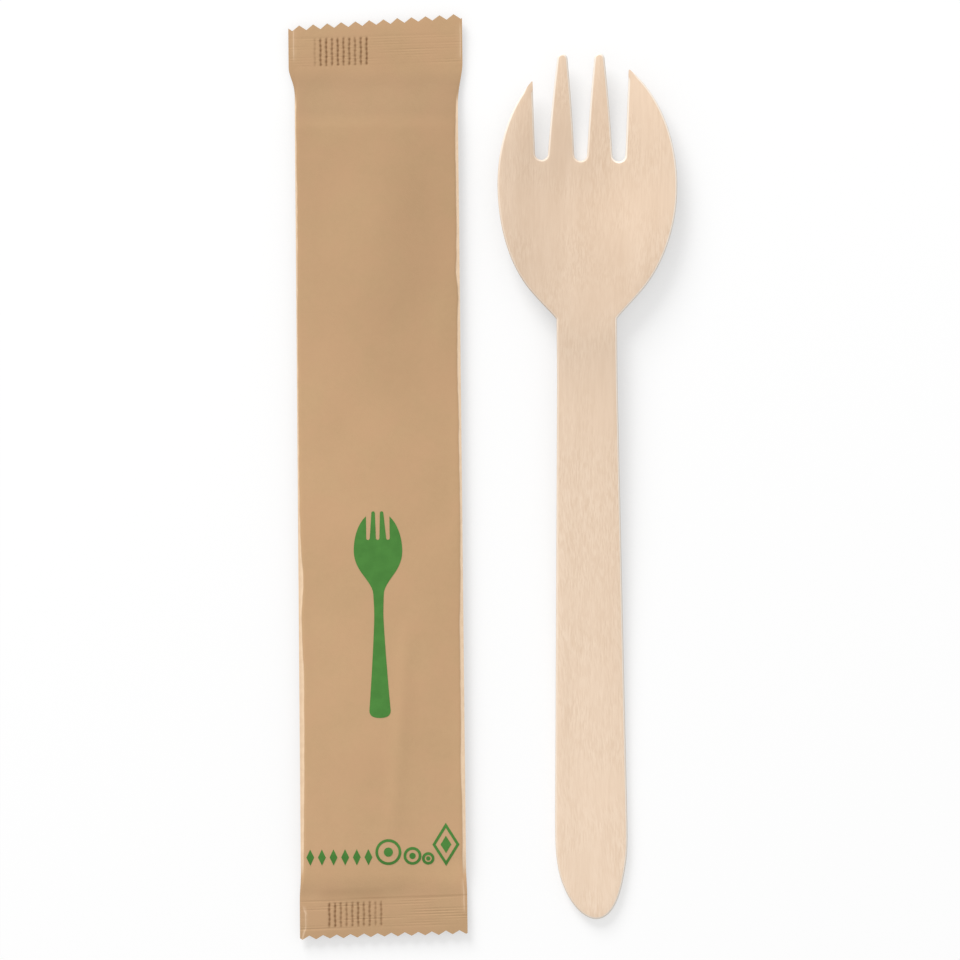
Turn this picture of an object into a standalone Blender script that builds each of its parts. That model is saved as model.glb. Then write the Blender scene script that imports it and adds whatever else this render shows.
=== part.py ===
"""Wooden cutlery pack: a kraft paper sachet, sealed and full, with a one-piece wooden spork beside it.

Both lie on the table, +Z up, with their long sides along Y. The ground is z = 0, and the pack's middle is over
the origin. Every value is in metres.
"""

import math

import bmesh
import bpy

mm = 0.001
deg = math.pi / 180

# Sachet: a paper tube, closed by a fin seal along its back and by a flat seal at each end.
sachet_length = 169.6 * mm
sachet_turn = 0.54 * deg
body_width_top = 30.1 * mm
body_width_bottom = 30.6 * mm
top_seal_length = 8.3 * mm
bottom_seal_length = 7.4 * mm
top_shoulder = 12.0 * mm
bottom_shoulder = 9.0 * mm
seal_thickness = 0.4 * mm
seal_spring = 1.0 * mm
seal_spring_length = 18.0 * mm

# How far the flat seals stand out past the rounded body, at the left and at the right.
top_left_overhang = 1.1 * mm
top_right_overhang = 0.95 * mm
bottom_left_overhang = 0.25 * mm
bottom_right_overhang = 0.15 * mm
side_narrowing = 6.5 * mm

# What the paper does over the spork inside: a crease along each side, a low crown, and a swell over the bowl.
crease_run = 1.0 * mm
crease_height = 0.5 * mm
edge_thickness = 0.25 * mm
edge_lift = 1.7 * mm
edge_lift_run = 5.0 * mm
crown_height = 0.6 * mm
bowl_swell_height = 1.1 * mm
bowl_swell_half_width = 12.0 * mm
bowl_swell_half_length = 30.0 * mm
bowl_swell_from_top = 45.0 * mm

# Fin seal: the tube's two long edges, sealed face to face and folded flat against the back.
fin_width = 10.0 * mm
fin_thickness = 0.25 * mm
fin_offset = -5.9 * mm
fin_overlap = 0.2 * mm

# Pinked ends: the teeth that the zigzag knives leave.
top_tooth_pitch = 2.60 * mm
top_tooth_depth = 0.92 * mm
top_first_tip = 2.0 * mm
top_cut_slope = 3.6 * deg
bottom_tooth_pitch = 2.52 * mm
bottom_tooth_depth = 0.70 * mm
bottom_first_tip = 0.5 * mm
bottom_cut_slope = 1.46 * deg
knife_back = 40.0 * mm

# Spork: one piece of veneer, pressed into a bowl and punched to its outline.
spork_length = 160.0 * mm
spork_turn = 0.54 * deg
veneer_thickness = 1.7 * mm
bowl_depth = 3.0 * mm
head_width = 33.2 * mm
head_upper_length = 24.3 * mm
head_lower_length = 24.8 * mm
head_offset = 0.35 * mm
neck_width = 11.15 * mm
grip_width = 13.35 * mm
grip_from_end = 18.0 * mm
taper_length = 82.0 * mm
end_round_length = 15.0 * mm
neck_fillet = 4.6 * mm
head_lean_length = 22.0 * mm
flat_handle_share = 0.2
dish_half_width = 19.6 * mm
dish_half_length = 29.5 * mm

# Tines: two inner ones, with round tips, between two pointed ones.
slot_depth = 19.5 * mm
slot_places = (-8.05 * mm, -0.80 * mm, 6.27 * mm)
slot_radius = 1.21 * mm
slot_step = 0.22 * mm
tine_places = (-4.05 * mm, 2.79 * mm)
tine_tip_radius = 0.95 * mm
tine_bow = 0.12 * mm
left_tip_place = -9.60 * mm
right_tip_place = 8.20 * mm

# How the two lie beside each other.
gap = 6.75 * mm
spork_lag = 1.55 * mm

# How finely the curved surfaces are divided.
sachet_cell = 3.0 * mm
spork_cell = 2.4 * mm
outline_step = 1.1 * mm
arc_steps = 8
spare = 3.0 * mm

# The finishes, as linear colours.
kraft_colour = (0.565, 0.366, 0.198, 1.0)
kraft_roughness = 0.72
wood_colour = (0.807, 0.617, 0.462, 1.0)
wood_roughness = 0.62


def mix(a, b, t):
    return a + (b - a) * t


def smooth(t):
    """0 below 0, 1 above 1, and an even S between."""
    t = min(max(t, 0.0), 1.0)
    return t * t * (3 - 2 * t)


def smooth_larger(a, b, fillet):
    """The larger of two values, with the corner between them rounded off."""
    near = max(fillet - abs(a - b), 0.0) / fillet
    return max(a, b) + near * near * fillet / 4


def steps_between(start, end, step):
    """Evenly spaced values from start to end, about one step apart, both ends included."""
    count = max(1, round(abs(end - start) / step))
    return [mix(start, end, i / count) for i in range(count + 1)]


def clear_scene():
    for thing in list(bpy.data.objects):
        bpy.data.objects.remove(thing, do_unlink=True)


def new_collection(name):
    collection = bpy.data.collections.new(name)
    bpy.context.scene.collection.children.link(collection)
    return collection


def keep_in(collection, thing):
    for other in list(thing.users_collection):
        other.objects.unlink(thing)
    collection.objects.link(thing)


def make_material(name, colour, roughness):
    material = bpy.data.materials.new(name)
    material.use_nodes = True
    shader = material.node_tree.nodes["Principled BSDF"]
    shader.inputs["Base Color"].default_value = colour
    shader.inputs["Roughness"].default_value = roughness
    shader.inputs["Metallic"].default_value = 0.0
    return material


def new_empty(name, collection):
    empty = bpy.data.objects.new(name, None)
    collection.objects.link(empty)
    return empty


def grid_sheet(name, across, along):
    """A flat sheet from a grid primitive, whose lines lie at the given places across (X) and along (Y)."""
    bpy.ops.mesh.primitive_grid_add(x_subdivisions=len(across) - 1, y_subdivisions=len(along) - 1, size=2)
    sheet = bpy.context.object
    sheet.name = name
    for vertex in sheet.data.vertices:
        column = round((vertex.co.x + 1) / 2 * (len(across) - 1))
        row = round((vertex.co.y + 1) / 2 * (len(along) - 1))
        vertex.co = (across[column], along[row], 0)
    return sheet


def flat_prism(name, outline, height):
    """A straight prism of a closed flat outline, from height below the ground to height above it."""
    curve = bpy.data.curves.new(name, "CURVE")
    curve.dimensions = "2D"
    curve.fill_mode = "BOTH"
    curve.extrude = height
    spline = curve.splines.new("POLY")
    spline.points.add(len(outline) - 1)
    for point, (x, y) in zip(spline.points, outline):
        point.co = (x, y, 0, 1)
    spline.use_cyclic_u = True
    drawn = bpy.data.objects.new(name + "_outline", curve)
    bpy.context.scene.collection.objects.link(drawn)
    bpy.context.view_layer.update()
    evaluated = drawn.evaluated_get(bpy.context.evaluated_depsgraph_get())
    mesh = bpy.data.meshes.new_from_object(evaluated)
    bpy.data.objects.remove(drawn, do_unlink=True)
    shape = bmesh.new()
    shape.from_mesh(mesh)
    bmesh.ops.remove_doubles(shape, verts=shape.verts, dist=0.001 * mm)
    bmesh.ops.recalc_face_normals(shape, faces=shape.faces)
    shape.to_mesh(mesh)
    shape.free()
    prism = bpy.data.objects.new(name, mesh)
    bpy.context.scene.collection.objects.link(prism)
    return prism


def boolean(piece, cutter, operation, cutters):
    """Joins, cuts or keeps a piece by a helper shape, which rides with the piece and stays out of sight."""
    modifier = piece.modifiers.new(cutter.name, "BOOLEAN")
    modifier.operation = operation
    modifier.solver = "EXACT"
    modifier.object = cutter
    cutter.parent = piece
    cutter.hide_render = True
    cutter.display_type = "WIRE"
    keep_in(cutters, cutter)


# Sachet

def sachet_side(side, along):
    """From the middle line to the left (-1) or right (1) side, at a distance up from the bottom cut."""
    body = mix(body_width_bottom, body_width_top, along / sachet_length) / 2
    from_bottom = along - bottom_seal_length
    from_top = sachet_length - top_seal_length - along
    at_bottom = (1 - smooth(from_bottom / side_narrowing)) ** 2
    at_top = (1 - smooth(from_top / side_narrowing)) ** 2
    if side < 0:
        return body + bottom_left_overhang * at_bottom + top_left_overhang * at_top
    return body + bottom_right_overhang * at_bottom + top_right_overhang * at_top


def fullness(along):
    """0 in the flat seals and 1 where the tube is open, with the shoulders between."""
    from_bottom = (along - bottom_seal_length) / bottom_shoulder
    from_top = (sachet_length - top_seal_length - along) / top_shoulder
    return smooth(from_bottom) * smooth(from_top)


def spring(along):
    """How far the stiff sealed ends spring up off the table."""
    from_end = min(along, sachet_length - along)
    return seal_spring * (1 - smooth(from_end / seal_spring_length))


def side_rise(across, along, run):
    """0 at the sachet's side and 1 from a given run inwards."""
    inward = sachet_side(across, along) - abs(across)
    return min(max(inward / run, 0.0), 1.0)


def back_height(across, along):
    lift = edge_lift * (1 - side_rise(across, along, edge_lift_run)) * fullness(along)
    return fin_thickness + spring(along) + lift


def front_height(across, along):
    full = fullness(along)
    floor = fin_thickness + spring(along)
    side = floor + mix(seal_thickness, edge_lift + edge_thickness, full)
    half = sachet_side(across, along)
    crown = crown_height * (1 - (across / half) ** 2)
    bowl_place = sachet_length - bowl_swell_from_top
    from_bowl = math.hypot(across / bowl_swell_half_width, (along - bowl_place) / bowl_swell_half_length)
    swell = bowl_swell_height * (1 - smooth(from_bowl))
    crease = crease_height * side_rise(across, along, crease_run)
    return side + full * (crease + (crown + swell) * side_rise(across, along, crease_run))


def sachet_columns():
    """Places across the sachet as shares of its half width: side, crease, where the back lifts, and between."""
    half = body_width_bottom / 2
    lines = [1.0, 1 - crease_run / half, 1 - edge_lift_run / half]
    inner = steps_between(-lines[-1], lines[-1], sachet_cell / half)
    return [-1 * line for line in lines[:2]] + inner + lines[1::-1]


def sachet_rows():
    """Places along the sachet, with a line on each seal's edge and closer lines over the shoulders."""
    top_seal_edge = sachet_length - top_seal_length
    stops = [
        (-spare, bottom_seal_length, sachet_cell),
        (bottom_seal_length, bottom_seal_length + bottom_shoulder, sachet_cell / 2),
        (bottom_seal_length + bottom_shoulder, top_seal_edge - top_shoulder, 2 * sachet_cell),
        (top_seal_edge - top_shoulder, top_seal_edge, sachet_cell / 2),
        (top_seal_edge, sachet_length + spare, sachet_cell),
    ]
    rows = [-spare]
    for start, end, step in stops:
        rows += steps_between(start, end, step)[1:]
    return rows


def make_tube():
    """The filled paper tube: a sheet, extruded once into a front and a back, each lifted to its height."""
    tube = grid_sheet("paper_sachet", sachet_columns(), sachet_rows())
    shape = bmesh.new()
    shape.from_mesh(tube.data)
    back = list(shape.verts)
    extruded = bmesh.ops.extrude_face_region(shape, geom=list(shape.faces))
    front = [part for part in extruded["geom"] if isinstance(part, bmesh.types.BMVert)]
    for side, height in ((back, back_height), (front, front_height)):
        for vertex in side:
            share, along = vertex.co.x, vertex.co.y
            across = share * sachet_side(share, along)
            vertex.co = (across, along, height(across, along))
    bmesh.ops.recalc_face_normals(shape, faces=shape.faces)
    shape.to_mesh(tube.data)
    shape.free()
    return tube


def make_fin():
    """The fin seal lies along the back from end to end, and follows the seals' spring."""
    rows = sachet_rows()
    fin = grid_sheet("fin_seal", [fin_offset - fin_width / 2, fin_offset + fin_width / 2], rows)
    shape = bmesh.new()
    shape.from_mesh(fin.data)
    under = list(shape.verts)
    extruded = bmesh.ops.extrude_face_region(shape, geom=list(shape.faces))
    over = [part for part in extruded["geom"] if isinstance(part, bmesh.types.BMVert)]
    for vertex in under:
        vertex.co.z = spring(vertex.co.y)
    for vertex in over:
        vertex.co.z = spring(vertex.co.y) + fin_thickness + fin_overlap
    bmesh.ops.recalc_face_normals(shape, faces=shape.faces)
    shape.to_mesh(fin.data)
    shape.free()
    return fin


def knife_outline(tip_line, slope, first_tip, pitch, depth, outwards):
    """A zigzag knife's flat outline: tips on a sloping line, notches one depth inside it, and a plain back."""
    left, right = sachet_side(-1, tip_line), sachet_side(1, tip_line)
    start = first_tip - left
    first = -math.ceil((first_tip + spare) / pitch)
    count = math.ceil((left + right + 2 * spare) / pitch) + 2
    edge = []
    for half_tooth in range(2 * first, 2 * (first + count) + 1):
        across = start + half_tooth * pitch / 2
        inset = depth * (half_tooth % 2)
        edge.append((across, tip_line + math.tan(slope) * across - outwards * inset))
    far = tip_line + outwards * knife_back
    return edge + [(edge[-1][0], far), (edge[0][0], far)]


def make_sachet(parts, cutters):
    tube = make_tube()
    keep_in(parts, tube)
    boolean(tube, make_fin(), "UNION", cutters)
    top_knife = knife_outline(
        sachet_length, top_cut_slope, top_first_tip, top_tooth_pitch, top_tooth_depth, 1
    )
    bottom_knife = knife_outline(
        0, bottom_cut_slope, bottom_first_tip, bottom_tooth_pitch, bottom_tooth_depth, -1
    )
    knife_height = seal_spring + crease_height + crown_height + bowl_swell_height + spare
    boolean(tube, flat_prism("top_knife", top_knife, knife_height), "DIFFERENCE", cutters)
    boolean(tube, flat_prism("bottom_knife", bottom_knife, knife_height), "DIFFERENCE", cutters)
    tube.data.materials.append(make_material("kraft_paper", kraft_colour, kraft_roughness))
    return tube


# Spork

def head_centre():
    return spork_length - head_upper_length


def handle_half_width(along):
    """The handle widens from its neck to the grip, and closes in half an ellipse."""
    widening = min(max((grip_from_end + taper_length - along) / taper_length, 0.0), 1.0)
    half = mix(neck_width, grip_width, widening) / 2
    from_round = min(max(1 - along / end_round_length, 0.0), 1.0)
    return half * math.sqrt(1 - from_round**2)


def head_half_width(along):
    """The head is an ellipse, a little longer below its widest place than above it."""
    reach = along - head_centre()
    length = head_upper_length if reach > 0 else head_lower_length
    return head_width / 2 * math.sqrt(max(1 - (reach / length) ** 2, 0.0))


def neck_place():
    """Where the head's ellipse is as wide as the neck."""
    return head_centre() - head_lower_length * math.sqrt(1 - (neck_width / head_width) ** 2)


def half_outline(along):
    """Half the spork's width, without its slots."""
    if along < neck_place() - neck_fillet:
        return handle_half_width(along)
    if along > head_centre():
        return head_half_width(along)
    return smooth_larger(head_half_width(along), handle_half_width(along), neck_fillet)


def outline_shift(along):
    """The head leans a little to the right of the handle's middle line, from the neck up."""
    return head_offset * smooth((along - neck_place()) / head_lean_length)


def tip_height(place):
    """How far up the head's ellipse an outer tine's point lies."""
    sideways = abs(place - head_offset) / (head_width / 2)
    return head_centre() + head_upper_length * math.sqrt(1 - sideways**2)


def arc(centre, radius, start, end):
    """Points round part of a circle, from one angle to another."""
    angles = [mix(start, end, i / arc_steps) for i in range(arc_steps + 1)]
    return [(centre[0] + radius * math.cos(a), centre[1] + radius * math.sin(a)) for a in angles]


def bowed(start, end, bow):
    """The points between two ends of a tine's side, which swells a little towards its middle."""
    points = []
    for i in range(1, arc_steps):
        t = i / arc_steps
        swell = 4 * bow * t * (1 - t)
        points.append((mix(start[0], end[0], t) + swell, mix(start[1], end[1], t)))
    return points


def slot_bottoms():
    """The centres of the slots' round ends. Each slot is cut a step deeper than the one to its left."""
    heights = [spork_length - slot_depth + slot_radius - i * slot_step for i in range(len(slot_places))]
    return list(zip(slot_places, heights))


def crown_outline():
    """The slots and tines, from the right outer point to the left one."""
    tips = [(place, spork_length - tine_tip_radius) for place in tine_places]
    slots = slot_bottoms()
    right_tip = (right_tip_place, tip_height(right_tip_place))
    left_tip = (left_tip_place, tip_height(left_tip_place))
    points = [right_tip]
    for i in range(len(slots) - 1, -1, -1):
        bottom = arc(slots[i], slot_radius, 0, -math.pi)
        if i < len(tips):
            points += bowed(points[-1], bottom[0], -tine_bow)
        points += bottom
        if i > 0:
            tip = arc(tips[i - 1], tine_tip_radius, 0, math.pi)
            points += bowed(bottom[-1], tip[0], tine_bow)
            points += tip
    points.append(left_tip)
    return points


def spork_outline():
    """The whole outline, anticlockwise from the middle of the handle's end."""
    crown = crown_outline()
    right = side_outline(crown[0][1], 1)
    left = side_outline(crown[-1][1], -1)
    return right + crown + left[::-1][:-1]


def side_outline(top, side):
    """One side of the spork from the handle's end up to an outer point, which it stops just short of."""
    round_part = [end_round_length * (1 - math.cos(i / arc_steps * math.pi / 2)) for i in range(arc_steps)]
    heights = round_part + steps_between(end_round_length, top, outline_step)[:-1]
    return [(outline_shift(along) + side * half_outline(along), along) for along in heights]


def pressed_height(across, along):
    """The veneer's middle height: the handle lies flat, climbs to the neck, and the head is dished from there."""
    climb = bowl_depth * smooth((along / neck_place() - flat_handle_share) / (1 - flat_handle_share))
    reach = ((across - head_offset) / dish_half_width) ** 2 + ((along - head_centre()) / dish_half_length) ** 2
    dish = bowl_depth * max(1 - reach, 0.0) ** 2
    return climb - dish


def make_spork(parts, cutters):
    """Veneer is pressed over a form, and then punched out."""
    half_blank = head_width / 2 + spare
    across = steps_between(head_offset - half_blank, head_offset + half_blank, spork_cell)
    along = steps_between(-spare, spork_length + spare, spork_cell)
    blank = grid_sheet("wooden_spork", across, along)
    for vertex in blank.data.vertices:
        vertex.co.z = pressed_height(vertex.co.x, vertex.co.y)
    keep_in(parts, blank)
    thickness = blank.modifiers.new("veneer", "SOLIDIFY")
    thickness.thickness = veneer_thickness
    thickness.offset = 0
    punch = flat_prism("punch", spork_outline(), bowl_depth + veneer_thickness + spare)
    boolean(blank, punch, "INTERSECT", cutters)
    blank.data.materials.append(make_material("birch_wood", wood_colour, wood_roughness))
    return blank


# The two side by side

def world_points(piece):
    bpy.context.view_layer.update()
    evaluated = piece.evaluated_get(bpy.context.evaluated_depsgraph_get())
    mesh = evaluated.to_mesh()
    points = [evaluated.matrix_world @ vertex.co for vertex in mesh.vertices]
    evaluated.to_mesh_clear()
    return points


def lay_down(piece):
    """Lowers or lifts a piece until its lowest point is on the ground."""
    piece.location.z -= min(point.z for point in world_points(piece))


def centre_over_origin(pack, pieces):
    points = [point for piece in pieces for point in world_points(piece)]
    for axis in (0, 1):
        low = min(point[axis] for point in points)
        high = max(point[axis] for point in points)
        pack.location[axis] -= (low + high) / 2


def main():
    clear_scene()
    parts = new_collection("wooden_cutlery_pack")
    cutters = new_collection("cutters")
    pack = new_empty("pack", parts)
    sachet = make_sachet(parts, cutters)
    spork = make_spork(parts, cutters)
    spork_place = (body_width_top + body_width_bottom) / 4 + gap + head_width / 2
    for piece, turn, place, length in (
        (sachet, sachet_turn, 0, sachet_length),
        (spork, spork_turn, spork_place, spork_length + 2 * spork_lag),
    ):
        piece.parent = pack
        piece.rotation_euler.z = turn
        piece.location.x = place + math.sin(turn) * length / 2
        piece.location.y = -math.cos(turn) * length / 2
        lay_down(piece)
    centre_over_origin(pack, (sachet, spork))


main()
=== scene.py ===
# %% [markdown]
# # A paper sachet of wooden cutlery
#
# Two pieces lie side by side on a white table. One is a flat kraft paper sachet, sealed round the spork
# inside it. The other is a spork of the same kind, out of its sachet: one piece of birch veneer, pressed to
# a bowl.
#
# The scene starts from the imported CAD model. Its solids have the right sizes and places, and each of them is
# replaced here by a piece that has what the eye looks for: creases, seals and teeth in the paper, rounded
# rims on the wood.

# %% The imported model
import math

import bpy
import numpy as np
from mathutils import Matrix, Vector, noise


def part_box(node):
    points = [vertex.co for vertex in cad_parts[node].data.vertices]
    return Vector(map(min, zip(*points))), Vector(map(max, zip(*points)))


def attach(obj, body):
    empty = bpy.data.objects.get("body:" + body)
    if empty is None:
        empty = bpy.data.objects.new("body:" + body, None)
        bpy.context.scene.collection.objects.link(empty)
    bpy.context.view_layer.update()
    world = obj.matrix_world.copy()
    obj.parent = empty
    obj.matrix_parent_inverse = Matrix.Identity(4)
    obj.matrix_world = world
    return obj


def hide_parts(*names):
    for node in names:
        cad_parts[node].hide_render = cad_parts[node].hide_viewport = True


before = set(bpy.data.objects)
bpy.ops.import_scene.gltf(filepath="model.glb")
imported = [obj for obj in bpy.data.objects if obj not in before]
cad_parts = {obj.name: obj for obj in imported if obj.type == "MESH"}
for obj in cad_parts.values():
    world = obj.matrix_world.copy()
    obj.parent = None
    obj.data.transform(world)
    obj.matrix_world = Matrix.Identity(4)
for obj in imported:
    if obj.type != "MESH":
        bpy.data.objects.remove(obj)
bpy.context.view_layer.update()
mm = 0.001
deg = math.pi / 180
for node in ("paper_sachet", "wooden_spork"):
    low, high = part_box(node)
    print(node, [round(size / mm, 1) for size in high - low], "mm")

# %% [markdown]
# ## Camera
#
# The pack is seen from straight above. A long lens from a metre and a half keeps the lines of sight almost
# parallel, so that the raised bowl is hardly drawn larger than the table is.

# %% Camera
picture_width = 177.6 * mm
picture_level = 1.5 * mm
picture_middle = (-0.48 * mm, -0.56 * mm)
lens = 300
sensor = 36
camera_distance = picture_width * lens / sensor
bpy.ops.object.camera_add(location=(*picture_middle, picture_level + camera_distance), rotation=(0, 0, 0))
camera = bpy.context.object
camera.data.lens = lens
camera.data.sensor_width = sensor
bpy.context.scene.camera = camera
print("camera", round(camera_distance / mm), "mm above the pack")

# %% [markdown]
# ## Table and light
#
# The light is that of a small photo table: light from all round, and one large soft lamp at the upper left.
# It makes the shallow folds of the paper readable, and draws narrow soft shadows at the right and below.
#
# The table is a plain pale sheet. For the camera and for mirror images it also glows a little, which lifts it
# to white and leaves its shadows. The pack gets no light from that glow.

# %% World
surround_level = 0.60
world = bpy.data.worlds.new("studio")
bpy.context.scene.world = world
world.use_nodes = True
tree = world.node_tree
tree.nodes.clear()


def add_node(tree, kind, settings=(), **inputs):
    """A new node with settings, and values or links for its inputs by name, or by number (i0, i1)."""
    node = tree.nodes.new(kind)
    for name, value in dict(settings).items():
        setattr(node, name, value)
    for name, value in inputs.items():
        numbered = name[0] == "i" and name[1:].isdigit()
        socket = node.inputs[int(name[1:]) if numbered else name.replace("_", " ")]
        if isinstance(value, bpy.types.NodeSocket):
            tree.links.new(value, socket)
        else:
            socket.default_value = value
    return node


def maths(tree, operation, first, second=0.0):
    """One step of arithmetic, as a socket."""
    return add_node(tree, "ShaderNodeMath", {"operation": operation}, i0=first, i1=second).outputs[0]


def seen_directly(tree):
    """1 for rays to the camera, straight, mirrored or through glass, and 0 for light on the pack."""
    rays = add_node(tree, "ShaderNodeLightPath").outputs
    mirrored = maths(tree, "MAXIMUM", rays["Is Glossy Ray"], rays["Is Transmission Ray"])
    return maths(tree, "MAXIMUM", rays["Is Camera Ray"], mirrored)


direct = seen_directly(tree)
white_share = maths(tree, "MULTIPLY", direct, 1 - surround_level)
level = maths(tree, "ADD", white_share, surround_level)
glow = add_node(tree, "ShaderNodeBackground", Color=(1, 1, 1, 1), Strength=level)
add_node(tree, "ShaderNodeOutputWorld", Surface=glow.outputs[0])
print("light from all round:", surround_level)

# %% Lamp
lamp_level = 0.42
lamp_size = 1300 * mm
lamp_distance = 2500 * mm
lamp_height = 31 * deg
lamp_side = 115 * deg
towards_lamp = Vector((
    math.cos(lamp_height) * math.cos(lamp_side),
    math.cos(lamp_height) * math.sin(lamp_side),
    math.sin(lamp_height),
))
bpy.ops.object.light_add(type="AREA", location=towards_lamp * lamp_distance)
lamp = bpy.context.object
lamp.name = "soft_lamp"
lamp.rotation_euler = towards_lamp.to_track_quat("Z", "Y").to_euler()
lamp.data.size = lamp_size
lamp.data.energy = lamp_level * math.pi**2 * lamp_distance**2 / math.sin(lamp_height)
print("lamp", round(lamp.data.energy, 2), "W")

# %% Table
table_grey = 0.48
table_white = 1.015
table_lift = table_white - table_grey * (surround_level + lamp_level)
table_width = 3.0
table_gap = 0.02 * mm
bpy.ops.mesh.primitive_plane_add(size=table_width, location=(0, 0, -table_gap))
table = bpy.context.object
table.name = "table"
sheet = bpy.data.materials.new("white_sheet")
sheet.use_nodes = True
tree = sheet.node_tree
shader = tree.nodes["Principled BSDF"]
shader.inputs["Base Color"].default_value = (table_grey, table_grey, table_grey, 1)
shader.inputs["Roughness"].default_value = 1.0
shader.inputs["Specular IOR Level"].default_value = 0.0
shader.inputs["Emission Strength"].default_value = table_lift
tree.links.new(seen_directly(tree), shader.inputs["Emission Color"])
table.data.materials.append(sheet)

# %% [markdown]
# ## A few hands
#
# Most shaping below is the same in kind: take one piece, read where its points are, move them by a rule, and
# write them back. Numbers for all points at once are kept in numpy arrays, which is quick for a fine mesh.


# %% Helpers
def only(piece):
    """Makes a piece the only one that operators act on."""
    bpy.ops.object.select_all(action="DESELECT")
    piece.select_set(True)
    bpy.context.view_layer.objects.active = piece


def read_points(piece):
    places = np.empty(3 * len(piece.data.vertices))
    piece.data.vertices.foreach_get("co", places)
    return places.reshape(-1, 3)


def write_points(piece, places):
    piece.data.vertices.foreach_set("co", places.ravel())
    piece.data.update()


def write_mask(piece, name, values):
    """Keeps a number for each point of a piece, for its material to read."""
    mask = piece.data.attributes.new(name, "FLOAT", "POINT")
    mask.data.foreach_set("value", np.asarray(values, dtype=np.float32))


def modify(piece, kind, **settings):
    """Adds a modifier with its settings, and applies it."""
    modifier = piece.modifiers.new(kind.lower(), kind)
    for name, value in settings.items():
        setattr(modifier, name, value)
    only(piece)
    bpy.ops.object.modifier_apply(modifier=modifier.name)


def shade_round(piece, angle):
    """Shades a piece smooth, apart from edges that are sharper than an angle."""
    only(piece)
    bpy.ops.object.shade_smooth_by_angle(angle=angle)


def smooth(t):
    """0 below 0, 1 above 1, and an even S between."""
    t = np.clip(t, 0.0, 1.0)
    return t * t * (3 - 2 * t)


def mix(a, b, t):
    return a + (b - a) * t


def clamp(t):
    return min(max(t, 0.0), 1.0)


def rounded(size, share):
    """What is left of a size at a share of the way out along a round end."""
    return size * math.sqrt(max(1 - share**2, 0.0))


def waves(places, pitch):
    """0 at every pitch from 0, and 1 halfway between."""
    return 0.5 - 0.5 * np.cos(2 * np.pi * places / pitch)


def evenly(start, end, step):
    """Evenly spaced values from start to end, about one step apart, both ends included."""
    return list(np.linspace(start, end, max(1, round(abs(end - start) / step)) + 1))


def arc(centre, radius, start, end, steps):
    """Points round part of a circle, from one angle to another."""
    angles = np.linspace(start, end, steps + 1)
    return [(centre[0] + radius * math.cos(a), centre[1] + radius * math.sin(a)) for a in angles]


def soft_line(off, half_width):
    """1 on a line and less beside it, for distances off the line."""
    return np.exp(-((off / half_width) ** 2))


def soft_noise(across, along, size, seed):
    """Gentle hills and dips about a size apart, from -1 to 1, always the same for the same seed."""
    return np.array([noise.noise((x / size, y / size, seed)) for x, y in zip(across, along)])


def lined_grid(name, across, along):
    """A flat grid, whose points are moved to the places in two tables with a row for each line across."""
    rows, columns = across.shape
    bpy.ops.object.select_all(action="DESELECT")
    bpy.ops.mesh.primitive_grid_add(x_subdivisions=columns - 1, y_subdivisions=rows - 1, size=2)
    grid = bpy.context.object
    grid.name = name
    spots = read_points(grid)
    column = np.rint((spots[:, 0] + 1) / 2 * (columns - 1)).astype(int)
    row = np.rint((spots[:, 1] + 1) / 2 * (rows - 1)).astype(int)
    spots[:, 0], spots[:, 1] = across[row, column], along[row, column]
    write_points(grid, spots)
    return grid


def open_mesh(piece):
    """Starts to edit a piece's mesh, with all of it selected."""
    only(piece)
    bpy.ops.object.mode_set(mode="EDIT")
    bpy.ops.mesh.select_all(action="SELECT")


def thicken(piece, thickness):
    """Extrudes a flat sheet upwards into a closed slab."""
    open_mesh(piece)
    bpy.ops.mesh.extrude_region_move(TRANSFORM_OT_translate={"value": (0, 0, thickness)})
    bpy.ops.mesh.select_all(action="SELECT")
    bpy.ops.mesh.normals_make_consistent(inside=False)
    bpy.ops.object.mode_set(mode="OBJECT")


def flat_shape(name, outline):
    """A flat face of any outline: a circle with one point for each of the outline's, moved there."""
    bpy.ops.object.select_all(action="DESELECT")
    bpy.ops.mesh.primitive_circle_add(vertices=len(outline), radius=1, fill_type="NGON")
    shape = bpy.context.object
    shape.name = name
    write_points(shape, np.array([(x, y, 0.0) for x, y in outline]))
    return shape


def slice_up(piece, places, direction):
    """Cuts a piece's faces along parallel planes, so that it can be bent smoothly there."""
    open_mesh(piece)
    for place in places:
        bpy.ops.mesh.select_all(action="SELECT")
        bpy.ops.mesh.bisect(plane_co=Vector(direction) * place, plane_no=direction)
    bpy.ops.object.mode_set(mode="OBJECT")


# %% [markdown]
# ## The sachet, laid out flat
#
# A flow wrapper makes such a sachet from one web of paper: it seals the web's edges to a fin along the back,
# presses a flat seal at each end, and cuts it off with a zigzag knife. So the model starts as the machine
# does, with a flat sheet of the sachet's outline. It is a grid primitive, whose lines are moved to where the
# detail will be: close together in the pressed seals and beside the side creases, and wide apart on the
# plain body.
#
# Places are given across the sachet, from its middle line, and along it, from the bottom cut.

# %% Sachet sizes
sachet_length = 169.6 * mm
sachet_turn = 0.54 * deg
body_width_top = 30.1 * mm
body_width_bottom = 30.6 * mm
top_seal_length = 8.3 * mm
bottom_seal_length = 7.4 * mm
top_seal_edge = sachet_length - top_seal_length
top_shoulder = 12.0 * mm
bottom_shoulder = 9.0 * mm
top_left_overhang = 1.1 * mm
top_right_overhang = 0.95 * mm
bottom_left_overhang = 0.25 * mm
bottom_right_overhang = 0.15 * mm
side_narrowing = 6.5 * mm
top_right_narrowing = 10.0 * mm


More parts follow.
